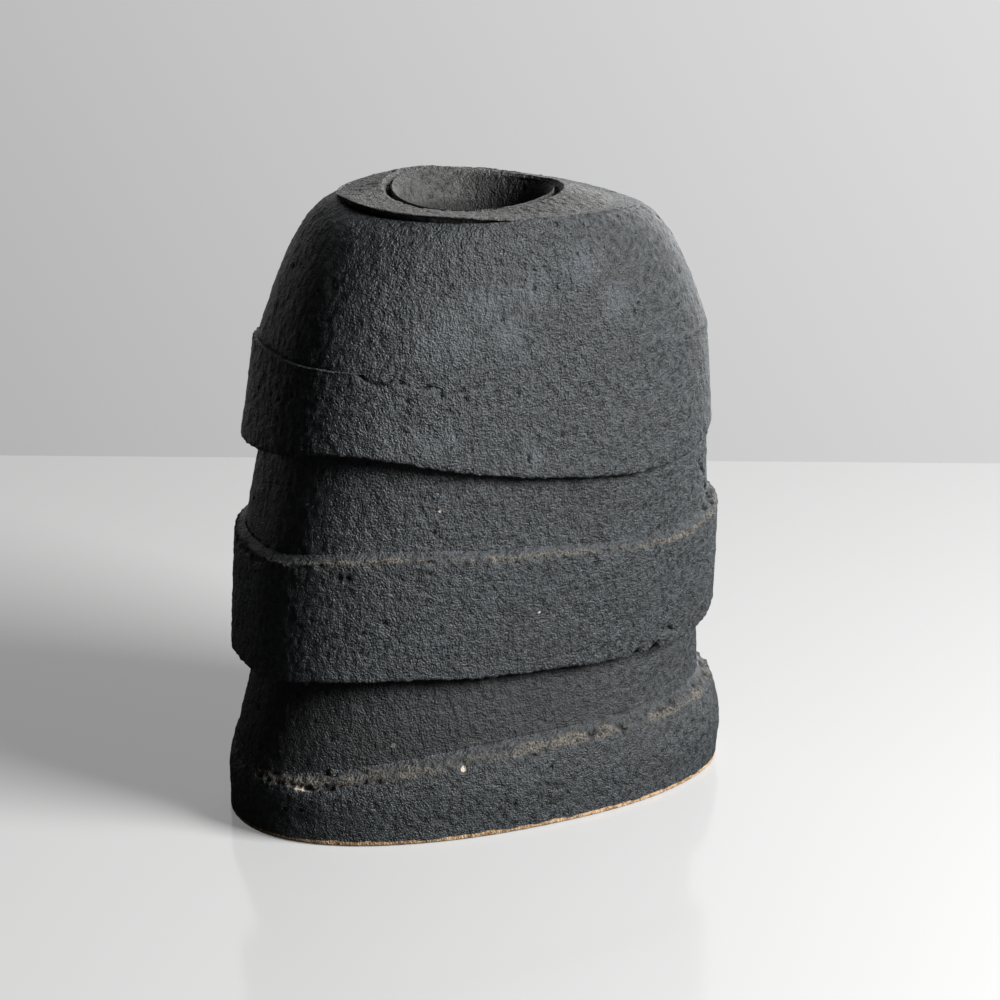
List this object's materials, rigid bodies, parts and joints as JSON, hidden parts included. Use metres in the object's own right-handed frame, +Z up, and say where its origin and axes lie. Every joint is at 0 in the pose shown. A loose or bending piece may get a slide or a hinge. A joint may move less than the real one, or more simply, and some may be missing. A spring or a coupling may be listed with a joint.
{
  "type": "slab-built stoneware vase",
  "caption": "Tall oval slab-built vase stacked from wrapped clay bands, with a domed shoulder, a hanging lip, ledges, and a narrow mouth in a thin collar on the crown.",
  "frame": {"origin": "middle of the flat underside of the foot, on the surface that the vase stands on", "axes": "+Z up to the mouth, X along the length of the oval plan, Y across its depth"},
  "size_m": [0.1544, 0.09, 0.1807],
  "materials": {
    "slipped_clay": "satin black slip over coarse grogged stoneware, brown where it is thin on the ledges",
    "collar_clay": "thin black slip over grogged stoneware, slightly warmer and drier than the walls",
    "bare_clay": "unglazed buff stoneware, dry and matte"
  },
  "bodies": {
    "root": {"floor_slab": "bare_clay", "foot_band": "slipped_clay", "lower_wall": "slipped_clay", "middle_band": "slipped_clay", "upper_wall": "slipped_clay", "skirt_band": "slipped_clay", "shoulder_cap": "slipped_clay", "mouth_collar": "collar_clay", "throat_liner": "collar_clay", "floor_coil": "bare_clay", "waist_coil": "bare_clay", "shoulder_coil": "bare_clay"}
  },
  "joints": []
}
